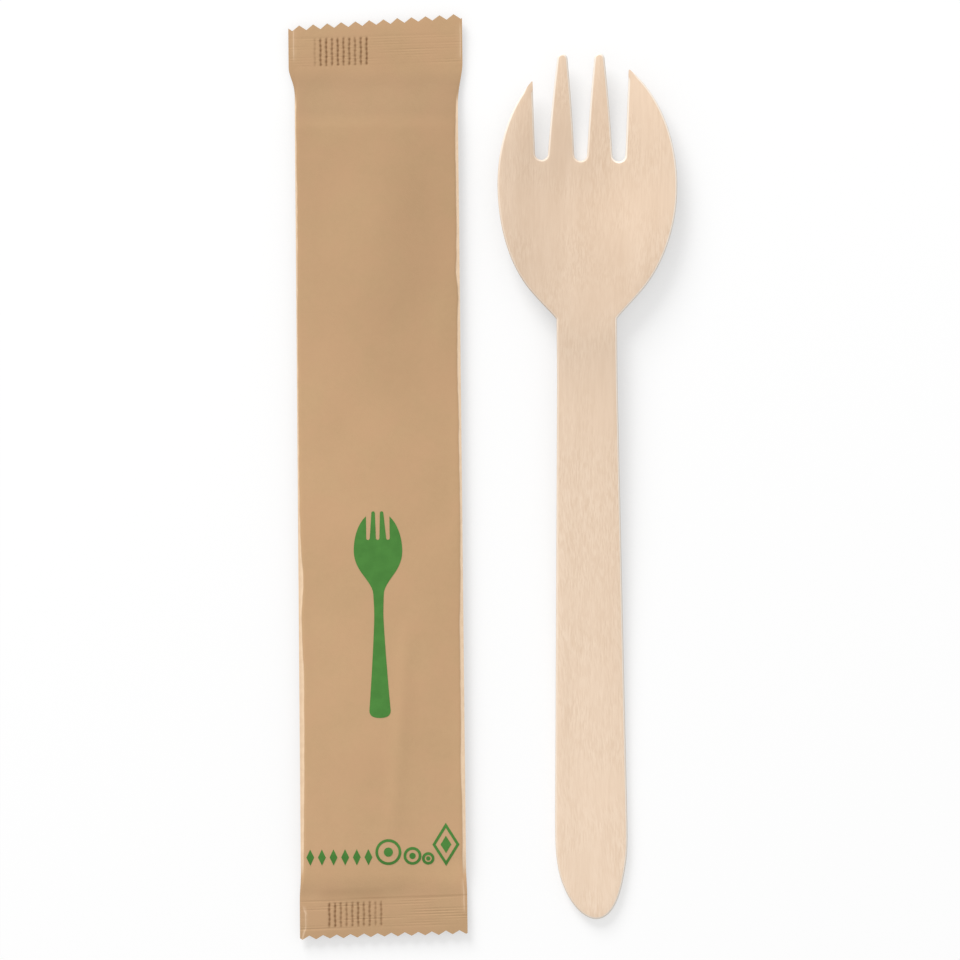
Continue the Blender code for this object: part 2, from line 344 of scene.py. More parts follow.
def sachet_side(side, along):
    """From the middle line to the left (-1) or right (1) side, at places along the sachet."""
    body = mix(body_width_bottom, body_width_top, along / sachet_length) / 2
    at_bottom = (1 - smooth((along - bottom_seal_length) / side_narrowing)) ** 2
    at_top = (1 - smooth((top_seal_edge - along) / side_narrowing)) ** 2
    at_top_right = (1 - smooth((top_seal_edge - along) / top_right_narrowing)) ** 2
    left = body + bottom_left_overhang * at_bottom + top_left_overhang * at_top
    right = body + bottom_right_overhang * at_bottom + top_right_overhang * at_top_right
    return np.where(side < 0, left, right)


def from_side(across, along):
    """How far inside the sachet's nearer side a place is."""
    return sachet_side(across, along) - np.abs(across)


# %% Side creases
# The width of the crease strip along each side, from the bottom cut to the top one: (place, width) in mm.
left_crease = (
    (-3, 0.30), (0, 0.50), (1.6, 1.10), (4.4, 1.05), (6.0, 0.45), (9.0, 0.35), (14.2, 0.55), (25, 0.70),
    (36, 0.86), (45, 0.88), (49.7, 0.88), (52.5, 0.72), (55, 0.60), (60, 0.52), (62.5, 0.66), (65, 0.88),
    (68, 0.84), (71, 0.58), (75.4, 0.42), (80, 0.28), (98, 0.24), (112, 0.20), (125, 0.30), (136, 0.34),
    (148, 0.22), (152, 0.22), (156, 0.32), (161, 0.95), (173, 1.00),
)
right_crease = (
    (-3, 0.60), (7.2, 0.60), (9.0, 0.70), (18, 0.60), (25, 0.60), (31, 0.82), (36, 0.75), (40, 0.65),
    (48, 0.68), (57, 0.72), (62, 0.56), (65, 0.50), (73, 0.40), (82, 0.42), (90, 0.48), (98, 0.50),
    (106, 0.66), (112, 0.55), (116, 0.45), (118, 0.30), (120, 0.42), (123, 0.72), (127, 0.55), (132, 0.50),
    (148, 0.55), (155, 0.34), (161, 0.37), (173, 0.40),
)
crease_least = 0.2 * mm
crease_ripple = 0.07 * mm
crease_ripple_size = 1.6 * mm
crease_step_run = 0.30 * mm


def crease_width(side, along):
    """The width of a side's crease, with the small ripples that creased paper has."""
    widths = []
    for table, seed in ((left_crease, 1.5), (right_crease, 8.5)):
        places, values = np.array(table).T * mm
        ripple = soft_noise(0 * along, along, crease_ripple_size, seed)
        widths.append(np.maximum(np.interp(along, places, values) + crease_ripple * ripple, crease_least))
    return np.where(side < 0, widths[0], widths[1])


# %% The sheet's lines
crimp_row = 0.1 * mm
seal_row = 0.25 * mm
shoulder_row = 0.4 * mm
body_row = 0.95 * mm
knife_waste = 3.0 * mm
top_crimps = (161.2 * mm, 166.6 * mm)
bottom_crimps = (1.6 * mm, 7.0 * mm)
bottom_fold = 7.25 * mm
fold_slope_top = 1.3 * deg
fold_slope_bottom = 1.46 * deg
comb_column = 0.15 * mm
body_column = 0.75 * mm
inner_reach = 13.4 * mm
comb_zone = (-11.9 * mm, 0.2 * mm)
past_fold = 0.5 * mm


def sheet_rows():
    """Places along the sachet: close lines in the crimped seals, fairly close ones over the shoulders."""
    rows = [-knife_waste]
    for end, step in (
        (bottom_crimps[0], seal_row),
        (bottom_fold + past_fold, crimp_row),
        (bottom_seal_length + bottom_shoulder, shoulder_row),
        (top_seal_edge - top_shoulder, body_row),
        (top_crimps[0], shoulder_row),
        (top_crimps[1], crimp_row),
        (sachet_length + knife_waste, seal_row),
    ):
        rows += evenly(rows[-1], end, step)[1:]
    return np.array(rows)


def sheet_columns():
    """Places across the sachet between the creases, close together where the ribs are pressed."""
    columns = evenly(-inner_reach, comb_zone[0], body_column)
    columns += evenly(*comb_zone, comb_column)[1:]
    columns += evenly(comb_zone[1], inner_reach, body_column)[1:]
    return np.array(columns)


def edge_columns(side, along):
    """Columns from a side inwards, over the crease strip and close together at its inner edge."""
    outer = sachet_side(side, along)
    width = crease_width(side, along)
    step = crease_step_run / 2
    beside = (
        0.5 * (width - step), width - step, width - step / 3, width + step / 3, width + step,
        mix(width + step, outer - inner_reach, 0.4),
    )
    return [side * outer] + [side * (outer - inward) for inward in beside]


rows = sheet_rows()
columns = sheet_columns()
row_shear = np.tan(mix(fold_slope_bottom, fold_slope_top, rows / sachet_length))
shear_share = 1 - smooth((rows - bottom_seal_length) / (2 * bottom_shoulder)) * smooth(
    (top_seal_edge - rows) / (2 * top_shoulder)
)
lines = edge_columns(-1, rows) + [np.full(len(rows), place) for place in columns]
lines += edge_columns(1, rows)[::-1]
across = np.array(lines).T
along = rows[:, None] + across * (row_shear * shear_share)[:, None]
print("sheet:", across.shape[1], "lines along,", across.shape[0], "lines across")

# %% The flat sachet
paper_thickness = 0.4 * mm
sachet = lined_grid("sachet_paper", across, along)
thicken(sachet, paper_thickness)
print("flat sachet:", len(sachet.data.polygons), "faces")

# %% [markdown]
# ## Pinked ends
#
# The zigzag of the knife is cut while the sachet is still flat. Each knife is a flat shape with one zigzag
# side, thickened and taken away with a Boolean. The teeth then bend with the paper, as they do on the real
# one.

# %% Zigzag knives
top_tooth_pitch = 2.60 * mm
top_tooth_depth = 0.92 * mm
top_first_tip = 2.0 * mm
top_cut_slope = 3.6 * deg
bottom_tooth_pitch = 2.52 * mm
bottom_tooth_depth = 0.70 * mm
bottom_first_tip = 0.5 * mm
bottom_cut_slope = 1.46 * deg
tooth_unevenness = 0.10 * mm
knife_back = 40 * mm
knife_thickness = 10 * mm


def knife_outline(tip_line, slope, first_tip, pitch, depth, outwards):
    """Tips on a sloping line, notches one depth inside it, and a plain back."""
    left, right = float(sachet_side(-1, tip_line)), float(sachet_side(1, tip_line))
    start = first_tip - left
    first = -math.ceil((first_tip + knife_waste) / pitch)
    count = math.ceil((left + right + 2 * knife_waste) / pitch) + 2
    edge = []
    for half_tooth in range(2 * first, 2 * (first + count) + 1):
        place = start + half_tooth * pitch / 2
        wander = tooth_unevenness * noise.noise((half_tooth * 0.7, outwards, 0.3))
        inset = depth * (half_tooth % 2) + wander
        edge.append((place + wander, tip_line + math.tan(slope) * place - outwards * inset))
    far = tip_line + outwards * knife_back
    return edge + [(edge[-1][0], far), (edge[0][0], far)]


def cut_ends(piece):
    """Takes both zigzag knives' waste off a flat piece."""
    for end in (
        (sachet_length, top_cut_slope, top_first_tip, top_tooth_pitch, top_tooth_depth, 1),
        (0.0, bottom_cut_slope, bottom_first_tip, bottom_tooth_pitch, bottom_tooth_depth, -1),
    ):
        knife = flat_shape("knife", knife_outline(*end))
        thicken(knife, knife_thickness)
        write_points(knife, read_points(knife) - (0, 0, knife_thickness / 2))
        modify(piece, "BOOLEAN", operation="DIFFERENCE", solver="EXACT", object=knife)
        bpy.data.objects.remove(knife, do_unlink=True)


cut_ends(sachet)
print("pinked sachet:", len(sachet.data.polygons), "faces")

# %% [markdown]
# ## Filling the sachet
#
# Paper hardly stretches, so a filled sachet isn't a cushion. It stays flat at its seals, breaks into a sharp
# crease along each side, and lies over its contents in a low, slightly uneven crown. That is a height for
# each place on the sheet, so the slab's front points are lifted by one rule and its back points by another.
# A cloth simulation would pull the stiff sheet into soft folds that such paper doesn't have.

# %% Heights of the tube
seal_spring = 1.0 * mm
seal_spring_length = 18.0 * mm
fin_thickness = 0.25 * mm
crease_height = 0.5 * mm
right_crease_height = 0.16 * mm
crease_strip_share = 0.3
edge_thickness = 0.25 * mm
edge_lift = 1.7 * mm
edge_lift_run = 5.0 * mm
crown_height = 0.6 * mm
bowl_swell_height = 1.1 * mm
bowl_swell_half_width = 12.0 * mm
bowl_swell_half_length = 30.0 * mm
bowl_swell_from_top = 45.0 * mm


def fullness(along):
    """0 in the flat seals and 1 where the tube is open."""
    from_bottom = (along - bottom_seal_length) / bottom_shoulder
    from_top = (top_seal_edge - along) / top_shoulder
    return smooth(from_bottom) * smooth(from_top)


def spring(along):
    """How far the stiff sealed ends spring up off the table."""
    from_end = np.minimum(along, sachet_length - along)
    return seal_spring * (1 - smooth(from_end / seal_spring_length))


def back_height(across, along):
    lift = edge_lift * (1 - np.clip(from_side(across, along) / edge_lift_run, 0, 1))
    return fin_thickness + spring(along) + lift * fullness(along)


def crease_rise(across, along):
    """0 at the side, a little up on the crease strip, and 1 past the short step at its inner edge."""
    inward = from_side(across, along)
    width = crease_width(across, along)
    strip = np.clip(inward / width, 0, 1)
    step = smooth((inward - width) / crease_step_run + 0.5)
    return mix(strip, step, 1 - crease_strip_share)


def tube_height(across, along):
    """The front's main form: up over the crease, then the crown, and the swell over the bowl inside."""
    full = fullness(along)
    half = sachet_side(across, along)
    rise = crease_rise(across, along)
    side = fin_thickness + spring(along) + mix(paper_thickness, edge_lift + edge_thickness, full)
    crown = crown_height * (1 - (across / half) ** 2)
    bowl = np.hypot(
        across / bowl_swell_half_width,
        (along - sachet_length + bowl_swell_from_top) / bowl_swell_half_length,
    )
    swell = bowl_swell_height * (1 - smooth(bowl))
    crease = mix(crease_height, right_crease_height, smooth(across / (2 * half) + 0.5))
    return side + full * rise * (crease + crown + swell)


# %% [markdown]
# What makes it paper is the uneven part: broad shallow dents, a soft ridge in the lower half where the paper
# was bent once, and short pleats that run out of the end seals.

# %% Dents, ridge and pleats
# Each kind of dent: its depth, its size, how many times narrower it is across, and a seed.
dents = ((0.30 * mm, 26 * mm, 1.4, 2.3), (0.07 * mm, 8 * mm, 1.2, 5.9))
calm_edge = 3.0 * mm
ridge_height = 0.24 * mm
ridge_from = (5.2 * mm, 62 * mm)
ridge_to = (1.6 * mm, 15 * mm)
ridge_half_width = 1.5 * mm
pleat_height = 0.22 * mm
pleat_spacing = 5.2 * mm
pleat_length = 11 * mm
pleat_fan = 0.25


def ridge(across, along):
    """A soft fold line across the lower half, strongest at its middle."""
    t = (along - ridge_from[1]) / (ridge_to[1] - ridge_from[1])
    off = across - mix(ridge_from[0], ridge_to[0], t)
    ends = smooth(4 * t) * smooth(4 * (1 - t))
    return ridge_height * ends * soft_line(off, ridge_half_width)


def pleats(across, along):
    """Shallow pleats that fan out of the end seals into the tube."""
    heights = 0 * along
    for edge, inwards, seed in ((bottom_seal_length, 1, 3.1), (top_seal_edge, -1, 7.7)):
        away = inwards * (along - edge) / pleat_length
        fan = across * (1 - pleat_fan * np.clip(away, 0, 1))
        fade = smooth(3 * away) * (1 - smooth(away))
        heights = heights + pleat_height * soft_noise(fan, 0 * along, pleat_spacing, seed) * fade
    return heights


def relief(across, along):
    """All the unevenness of the front, which dies out in the seals and at the creases."""
    inside = smooth(from_side(across, along) / calm_edge)
    heights = ridge(across, along)
    for depth, size, narrowing, seed in dents:
        heights = heights + depth * soft_noise(across * narrowing, along, size, seed)
    return inside * (fullness(along) * heights + pleats(across, along))


# %% [markdown]
# ## Seals
#
# The jaws that close the ends have fine cross ribs, half a millimetre apart. Where the fin seal lies behind
# an end seal there are twice the layers, and its ten lengthwise ribs are pressed through to the front as a
# comb of short dark dashes. Both are pressed into the points here, and the depth of the dashes is kept as a
# mask that the paper's material browns.

# %% Pressed ribs
crimp_pitch = 0.505 * mm
crimp_depth = 0.045 * mm
crimp_fade = 0.2 * mm
crimp_patch_size = 8 * mm
crimp_limits = (0.03, 1.4)
comb_pitch = 1.066 * mm
comb_line_half_width = 0.19 * mm
comb_dash_swell = 0.025 * mm
comb_dash_pitch = 0.88 * mm
comb_wobble = 0.03 * mm
comb_depth = 0.12 * mm
top_comb = (0.35, 0.95, 1.0, 0.85, 1.0, 0.9, 0.9, 0.8, 0.95, 1.0)
bottom_comb = (1.0, 1.0, 0.8, 0.72, 0.8, 0.95, 0.8, 0.85, 0.55, 0.75)
top_comb_start = -11.28 * mm
comb_fade = 0.5 * mm
# Painted shade near the bottom seal: a dark line along the fold, and a darker band above the fin's ribs.
fold_line_share = 0.28
fold_line_half_width = 0.13 * mm
fold_line_start = -9 * mm
fold_line_run = 7 * mm
shaded_band_share = 0.14
shaded_band_height = (bottom_fold + 0.3 * mm, bottom_fold + 1.2 * mm, 1.2 * mm)
shaded_band_width = (-9.5 * mm, -2 * mm, 4 * mm)
# Each seal: its crimps and their slope and strength, and the comb's first line, margin and strengths.
seals = (
    (top_crimps, fold_slope_top, 0.45, top_comb_start, 0.4 * mm, top_comb),
    (bottom_crimps, fold_slope_bottom, 1.0, -10.08 * mm, 0.7 * mm, bottom_comb),
)


def within(value, low, high, fade):
    """1 between two places, and 0 a fade outside them."""
    return smooth((value - low) / fade + 1) * smooth((high - value) / fade + 1)


def crimps(across, along):
    """Cross ribs of the end seals, unevenly strong."""
    depth = 0 * along
    for (low, high), slope, crimp_share, *_ in seals:
        level = along - np.tan(slope) * across
        strength = crimp_share * (0.5 + 1.8 * soft_noise(across, level * 9, crimp_patch_size, low / mm))
        strength = np.clip(strength, *crimp_limits) * within(level, low, high, crimp_fade)
        depth = depth + crimp_depth * strength * waves(level - low, crimp_pitch)
    return depth


def comb(across, along):
    """The fin's ribs, pressed through an end seal as broken lines: 1 at the deepest, 0 beside them."""
    pressed = 0 * along
    for (low, high), slope, _, start, margin, strengths in seals:
        level = along - np.tan(slope) * across
        band = within(level, low + margin, high - margin, comb_fade)
        for line, strength in enumerate(strengths):
            wobble = comb_wobble * np.sin(level / mm * 2.1 + 1.9 * line)
            off = across - start - line * comb_pitch - wobble
            beat = np.cos(2 * np.pi * (level / comb_dash_pitch + 0.37 * line))
            half_width = comb_line_half_width + comb_dash_swell * beat
            dash = (0.86 + 0.14 * beat) * np.exp(-((np.abs(off) / half_width) ** 3))
            pressed = pressed + strength * band * dash
    return np.clip(pressed, 0, 1)


def fold_and_band_shade(across, along):
    """Where the bottom jaws end: painted shade along the fold line, and a painted shaded band above the fin's
    ribs.
    """
    level = along - np.tan(fold_slope_bottom) * across
    line = soft_line(level - bottom_fold, fold_line_half_width)
    line = line * smooth((across - fold_line_start) / fold_line_run)
    shaded_band = within(level, *shaded_band_height) * within(across, *shaded_band_width)
    return fold_line_share * line + shaded_band_share * shaded_band


# %% Filled sachet
spots = read_points(sachet)
front = spots[:, 2] > paper_thickness / 2
x, y = spots[:, 0], spots[:, 1]
pressed = comb(x, y)
front_height = tube_height(x, y) + relief(x, y) - crimps(x, y) - comb_depth * pressed
spots[:, 2] = np.where(front, front_height, back_height(x, y))
write_points(sachet, spots)
# The dark mask holds the crushed dashes, and painted shade along the bottom fold.
write_mask(sachet, "crush_and_shade", np.where(front, np.clip(pressed + fold_and_band_shade(x, y), 0, 1), 0))
print("sachet is", round(spots[:, 2].max() / mm, 2), "mm high")

# %% [markdown]
# Along the creases the paper shows as a pale, almost cream strip: partly bruised fibres, and partly painted
# sheen, fuller on the right crease than on the left. Its outline is the crease's own, so the mask comes from
# the same rule.

# %% Worn creases and painted sheen
crease_angle = 50 * deg
wear_and_sheen_softness = 0.16 * mm
back_wear_and_sheen_share = 0.35
left_wear_and_sheen_shares = (0.75, 0.85)
left_wear_and_sheen_change = (78 * mm, 6 * mm)
inner_line_share = 0.2
inner_line_inset = 0.1 * mm
inner_line_half_width = 0.12 * mm
seal_line_share = 0.55
seal_line_half_width = 0.11 * mm
seal_line_fade = 2 * mm
left_seal_line = (-1 * mm, 4.5 * mm)
right_seal_line = (5.8 * mm, 9.4 * mm)
top_seal_line = (163.5 * mm, 167.5 * mm)


def wear_and_sheen_strip(across, along):
    """1 on the pale strip from the side to the crease's inner edge: bruised fibres and painted sheen."""
    past = from_side(across, along) - crease_width(across, along)
    left_share = mix(*left_wear_and_sheen_shares, smooth((left_wear_and_sheen_change[0] - along) / left_wear_and_sheen_change[1]))
    strip = (1 - smooth(past / wear_and_sheen_softness + 0.5)) * np.where(across < 0, left_share, 1.0)
    inner_line = inner_line_share * soft_line(past + inner_line_inset, inner_line_half_width)
    left, right, top = (
        within(along, *line, seal_line_fade) for line in (left_seal_line, right_seal_line, top_seal_line)
    )
    seal_share = np.clip(seal_line_share * (np.where(across < 0, left, right) + top), 0, 1)
    in_seal = smooth(2.4 * (1 - fullness(along)) - 0.6)
    return mix(strip + inner_line, seal_share * soft_line(past, seal_line_half_width), in_seal)


# The pale mask: bruised fibres and painted sheen, fuller on the right crease than on the left.
write_mask(sachet, "worn", wear_and_sheen_strip(x, y) * np.where(front, 1, back_wear_and_sheen_share))
shade_round(sachet, crease_angle)

# %% [markdown]
# ## Fin seal
#
# The web's two edges are sealed face to face, and the fin that they make is folded flat against the back. It
# is a strip of its own here, with the ten ribs of the sealing wheels along it, cut by the same two knives.

# %% Fin
fin_width = 10.6 * mm
fin_offset = -5.9 * mm
fin_overlap = 0.03 * mm
fin_rib_height = 0.09 * mm
fin_margin = 0.7 * mm
fin_crush_share = 0.35
fin_wear_and_sheen_share = 0.8
fin_wear_and_sheen_width = 0.3 * mm
fin_row = 1.6 * mm
fin_columns_per_rib = 6
fin_rows = evenly(-knife_waste, sachet_length + knife_waste, fin_row)
fin_columns = evenly(fin_offset - fin_width / 2, fin_offset + fin_width / 2, comb_pitch / fin_columns_per_rib)
fin = lined_grid("fin_seal", *np.meshgrid(fin_columns, fin_rows))
thicken(fin, fin_thickness)
cut_ends(fin)
spots = read_points(fin)
over = spots[:, 2] > fin_thickness / 2
ribs = waves(spots[:, 0] - top_comb_start, comb_pitch)
inward = fin_width / 2 - np.abs(spots[:, 0] - fin_offset)
margin = smooth(inward / fin_margin)
heights = np.where(over, fin_thickness + fin_overlap, fin_rib_height * ribs * margin)
spots[:, 2] = spring(spots[:, 1]) + heights
write_points(fin, spots)
write_mask(fin, "crush_and_shade", np.where(over, 0, fin_crush_share * (1 - ribs) * margin))
# The fin's edges get the same pale mask: wear and painted sheen.
write_mask(fin, "worn", fin_wear_and_sheen_share * (1 - smooth(inward / fin_wear_and_sheen_width)))
shade_round(fin, crease_angle)
print("fin seal:", len(fin.data.polygons), "faces")

# %% [markdown]
# ## Print
#
# One plain green ink is printed on the web before it is folded: a pictogram of a spork, and a simple border
# near the bottom seal. Each is a thin film of its own, cut as a flat shape, sliced so that it can bend, and
# laid on the paper with a Shrinkwrap. A film keeps a crisp edge at any distance, which a mask on the paper's
# own points can't, and the ink can be given another colour by itself.

# %% Pictogram
sign_place = -0.47 * mm
sign_lean = 0.0035
sign_bottom = 40.5 * mm
sign_top = 78.7 * mm
sign_head_half_width = 4.48 * mm
sign_head_centre = 71.35 * mm
sign_head_lower = 7.2 * mm
sign_neck_half_width = 0.84 * mm
sign_neck_swell = 0.18 * mm
sign_end_half_width = 2.07 * mm
sign_swell_run = 6 * mm
sign_flare_from = 59.5 * mm
sign_corner = 1.7 * mm
sign_fillet = 1.9 * mm
sign_slots = (-1.82 * mm, -0.03 * mm, 1.87 * mm)
sign_tine_tops = (-0.81 * mm, 0.76 * mm)
sign_tine_top_half_width = 0.32 * mm
sign_slot_bottom = 73.75 * mm
sign_slot_half_width = 0.33 * mm
sign_arc_steps = 8
sign_step = 0.6 * mm


def rounder_larger(a, b, fillet):
    """The larger of two values, with the corner between them rounded off."""
    near = max(fillet - abs(a - b), 0.0) / fillet
    return max(a, b) + near * near * fillet / 4


def sign_half_width(along):
    """The pictogram's half width: a flared handle with a rounded end, and a head that tapers to it."""
    flare = (sign_flare_from - along) / (sign_flare_from - sign_bottom)
    handle = mix(sign_neck_half_width, sign_end_half_width, max(flare, 0.0) ** 1.25)
    if along > sign_flare_from:
        handle += sign_neck_swell * float(smooth((along - sign_flare_from) / sign_swell_run))
    from_end = clamp(1 - (along - sign_bottom) / sign_corner)
    handle *= (1 - from_end**3) ** (1 / 2.2)
    reach = along - sign_head_centre
    if reach > 0:
        return rounded(sign_head_half_width, reach / (sign_top - sign_head_centre))
    head = sign_head_half_width * (1 - (reach / sign_head_lower) ** 2)
    return rounder_larger(head, handle, sign_fillet)


def sign_outline():
    """Up the right side, through the slots and tines, and down the left side."""
    outer_sides = [sign_slots[0] - sign_slot_half_width, sign_slots[-1] + sign_slot_half_width]
    head_length = sign_top - sign_head_centre
    shoulders = [sign_head_centre + rounded(head_length, side / sign_head_half_width) for side in outer_sides]
    turns = np.linspace(0, math.pi / 2, sign_arc_steps + 1)
    corner = [sign_bottom + sign_corner * (1 - math.cos(turn)) for turn in turns]
    sides = []
    for shoulder in shoulders:
        levels = corner[1:] + evenly(sign_bottom + sign_corner, shoulder, sign_step)[1:-1]
        sides.append([(sign_half_width(level), level) for level in levels])
    left = [(-width, level) for width, level in sides[0][::-1]]
    crown = [(outer_sides[1], shoulders[1])]
    for i in (2, 1, 0):
        crown += arc((sign_slots[i], sign_slot_bottom), sign_slot_half_width, 0, -math.pi, sign_arc_steps)
        if i > 0:
            tip = (sign_tine_tops[i - 1], sign_top - sign_tine_top_half_width)
            crown += arc(tip, sign_tine_top_half_width, 0, math.pi, sign_arc_steps)
    crown.append((outer_sides[0], shoulders[0]))
    outline = [(0.0, sign_bottom)] + sides[1] + crown + left
    return [(sign_place + across + sign_lean * (sign_top - along), along) for across, along in outline]


sign = flat_shape("spork_sign", sign_outline())
print("pictogram", round((sign_top - sign_bottom) / mm, 1), "mm long")

# %% Border
border_foot = 13.3 * mm
stroke = 0.5 * mm
small_lozenges = 6
small_lozenge_pitch = 2.15 * mm
first_lozenge_place = -13.5 * mm
small_lozenge_half = (0.72 * mm, 1.5 * mm)
rings = ((0.95 * mm, 2.4 * mm), (5.4 * mm, 1.65 * mm), (8.3 * mm, 1.15 * mm))
ring_steps = 48
dot_share = 0.35
large_lozenge_place = 11.6 * mm
large_lozenge_half = (2.5 * mm, 4.0 * mm)
large_lozenge_drop = 0.3 * mm
core_half = (1.0 * mm, 1.6 * mm)
core_rise = 2.1 * mm


def lozenge(name, place, foot, half_width, half_height):
    """A solid lozenge that stands on a foot level."""
    middle = foot + half_height
    top = (place, middle + half_height)
    return flat_shape(name, [(place + half_width, middle), top, (place - half_width, middle), (place, foot)])


def disc(name, place, middle, radius):
    return flat_shape(name, arc((place, middle), radius, 0, 2 * math.pi, ring_steps)[:-1])


def hollow(shape):
    """Leaves only a stroke round a flat shape's edge."""
    open_mesh(shape)
    bpy.ops.mesh.inset(thickness=stroke)
    bpy.ops.mesh.delete(type="FACE")
    bpy.ops.object.mode_set(mode="OBJECT")
    return shape


border = lozenge("border_print", first_lozenge_place, border_foot, *small_lozenge_half)
modify(
    border, "ARRAY", count=small_lozenges, use_relative_offset=False, use_constant_offset=True,
    constant_offset_displace=(small_lozenge_pitch, 0, 0),
)
motifs = []
for place, radius in rings:
    motifs.append(hollow(disc("ring", place, border_foot + radius, radius)))
    motifs.append(disc("dot", place, border_foot + radius, dot_share * radius))
large_foot = border_foot - large_lozenge_drop
motifs.append(hollow(lozenge("large_lozenge", large_lozenge_place, large_foot, *large_lozenge_half)))
motifs.append(lozenge("core", large_lozenge_place, border_foot + core_rise, *core_half))
only(border)
for motif in motifs:
    motif.select_set(True)
bpy.ops.object.join()
print("border of", small_lozenges + len(motifs), "motifs")

# %% Laying the ink on
ink_thickness = 0.02 * mm
ink_slice = 0.7 * mm
above_paper = 8 * mm
above_facets = 0.02 * mm


def lay_ink(film):
    """Slices a flat film finely, drops it on the paper, and gives it its thickness."""
    spots = read_points(film)
    low, high = spots.min(axis=0), spots.max(axis=0)
    slice_up(film, evenly(low[0], high[0], ink_slice)[1:-1], (1, 0, 0))
    slice_up(film, evenly(low[1], high[1], ink_slice)[1:-1], (0, 1, 0))
    write_points(film, read_points(film) + (0, 0, above_paper))
    modify(
        film, "SHRINKWRAP", wrap_method="PROJECT", use_project_z=True, use_positive_direction=False,
        use_negative_direction=True, target=sachet,
    )
    modify(film, "SOLIDIFY", thickness=ink_thickness, offset=1)
    write_points(film, read_points(film) + (0, 0, above_facets))
    shade_round(film, crease_angle)


for film in (sign, border):
    lay_ink(film)
    print(film.name, len(film.data.polygons), "faces")

# %% [markdown]
# ## The spork
#
# Wooden cutlery of this kind is punched from sliced birch veneer and pressed hot, then tumbled, which rounds
# its rims. The model follows those steps: a flat face of the outline is extruded to the veneer's thickness,
# its rims are bevelled round, it is sliced so that it can bend, and its points move to their pressed heights.

# %% Spork sizes
spork_length = 160.0 * mm
spork_turn = 0.54 * deg
veneer_thickness = 1.7 * mm
bowl_depth = 3.0 * mm
head_width = 33.2 * mm
head_upper_length = 24.3 * mm
head_lower_length = 24.8 * mm
head_offset = 0.35 * mm
head_centre = spork_length - head_upper_length
neck_width = 11.15 * mm
grip_width = 13.35 * mm
grip_from_end = 18.0 * mm
taper_length = 82.0 * mm
end_round_length = 15.0 * mm
neck_fillet = 4.6 * mm
head_lean_length = 22.0 * mm
end_offset = 0.8 * mm
end_lean_length = 9.0 * mm
neck_place = head_centre - rounded(head_lower_length, neck_width / head_width)


def spork_half_width(along):
    """Half the spork's width, without its slots."""
    widening = clamp((grip_from_end + taper_length - along) / taper_length)
    handle = rounded(mix(neck_width, grip_width, widening) / 2, clamp(1 - along / end_round_length))
    reach = along - head_centre
    length = head_upper_length if reach > 0 else head_lower_length
    head = rounded(head_width / 2, reach / length)
    if along < neck_place - neck_fillet:
        return handle
    if reach > 0:
        return head
    return rounder_larger(head, handle, neck_fillet)


def spork_shift(along):
    """The head and the handle's very end lean a little to the right of the handle's middle line."""
    head_lean = head_offset * float(smooth((along - neck_place) / head_lean_length))
    return head_lean + end_offset * max(1 - along / end_lean_length, 0.0) ** 1.5


# %% Tines and slots
slot_depth = 19.5 * mm
slot_places = (-8.05 * mm, -0.80 * mm, 6.27 * mm)
slot_radius = 1.21 * mm
slot_step = 0.22 * mm
tine_places = (-4.05 * mm, 2.79 * mm)
tine_tip_radius = 0.95 * mm
tine_bow = 0.12 * mm
left_tip_place = -9.60 * mm
right_tip_place = 8.20 * mm
tip_cut_back = 0.40 * mm
arc_steps = 12
tip_steps = 6
end_round_steps = 16
side_step = 0.6 * mm


def bowed(start, end, bow):
    """The points between two ends of a tine's side, which swells a little towards its middle."""
    shares = np.linspace(0, 1, 2 * arc_steps)[1:-1]
    return [(mix(start[0], end[0], t) + 4 * bow * t * (1 - t), mix(start[1], end[1], t)) for t in shares]


def blunted(before, tip, after):
    """A sharp tip, worn round: a short curve from one side of it to the other."""
    tip = Vector(tip)
    start = tip + (Vector(before) - tip).normalized() * tip_cut_back
    end = tip + (Vector(after) - tip).normalized() * tip_cut_back
    shares = np.linspace(0, 1, tip_steps + 1)
    curve = [start * (1 - t) ** 2 + tip * (2 * t * (1 - t)) + end * t**2 for t in shares]
    return [tuple(point) for point in curve]


def outer_tip(place):
    sideways = abs(place - head_offset) / (head_width / 2)
    return (place, head_centre + rounded(head_upper_length, sideways))


def side_points(top, side):
    """One side of the spork, from the handle's end up to just below an outer tip."""
    turns = [i / end_round_steps * math.pi / 2 for i in range(end_round_steps)]
    round_part = [end_round_length * (1 - math.cos(turn)) for turn in turns]
    levels = round_part + evenly(end_round_length, top - tip_cut_back, side_step)[:-1]
    return [(spork_shift(level) + side * spork_half_width(level), level) for level in levels]


def crown_points():
    """The slots and tines, from the right outer tip to the left one, without those two."""
    points = []
    for i in (2, 1, 0):
        centre = (slot_places[i], spork_length - slot_depth + slot_radius - i * slot_step)
        bottom = arc(centre, slot_radius, 0, -math.pi, arc_steps)
        before = points[-1] if points else outer_tip(right_tip_place)
        points += bowed(before, bottom[0], -tine_bow if i < 2 else 0)
        points += bottom
        if i > 0:
            tip_centre = (tine_places[i - 1], spork_length - tine_tip_radius)
            tip = arc(tip_centre, tine_tip_radius, 0, math.pi, arc_steps)
            points += bowed(bottom[-1], tip[0], tine_bow)
            points += tip
    points += bowed(points[-1], outer_tip(left_tip_place), 0)
    return points


right_side = side_points(outer_tip(right_tip_place)[1], 1)
left_side = side_points(outer_tip(left_tip_place)[1], -1)[::-1]
crown = crown_points()
right_end = blunted(right_side[-1], outer_tip(right_tip_place), crown[0])
left_end = blunted(crown[-1], outer_tip(left_tip_place), left_side[0])
spork_outline = right_side + right_end + crown + left_end + left_side[:-1]
print("spork outline:", len(spork_outline), "points")

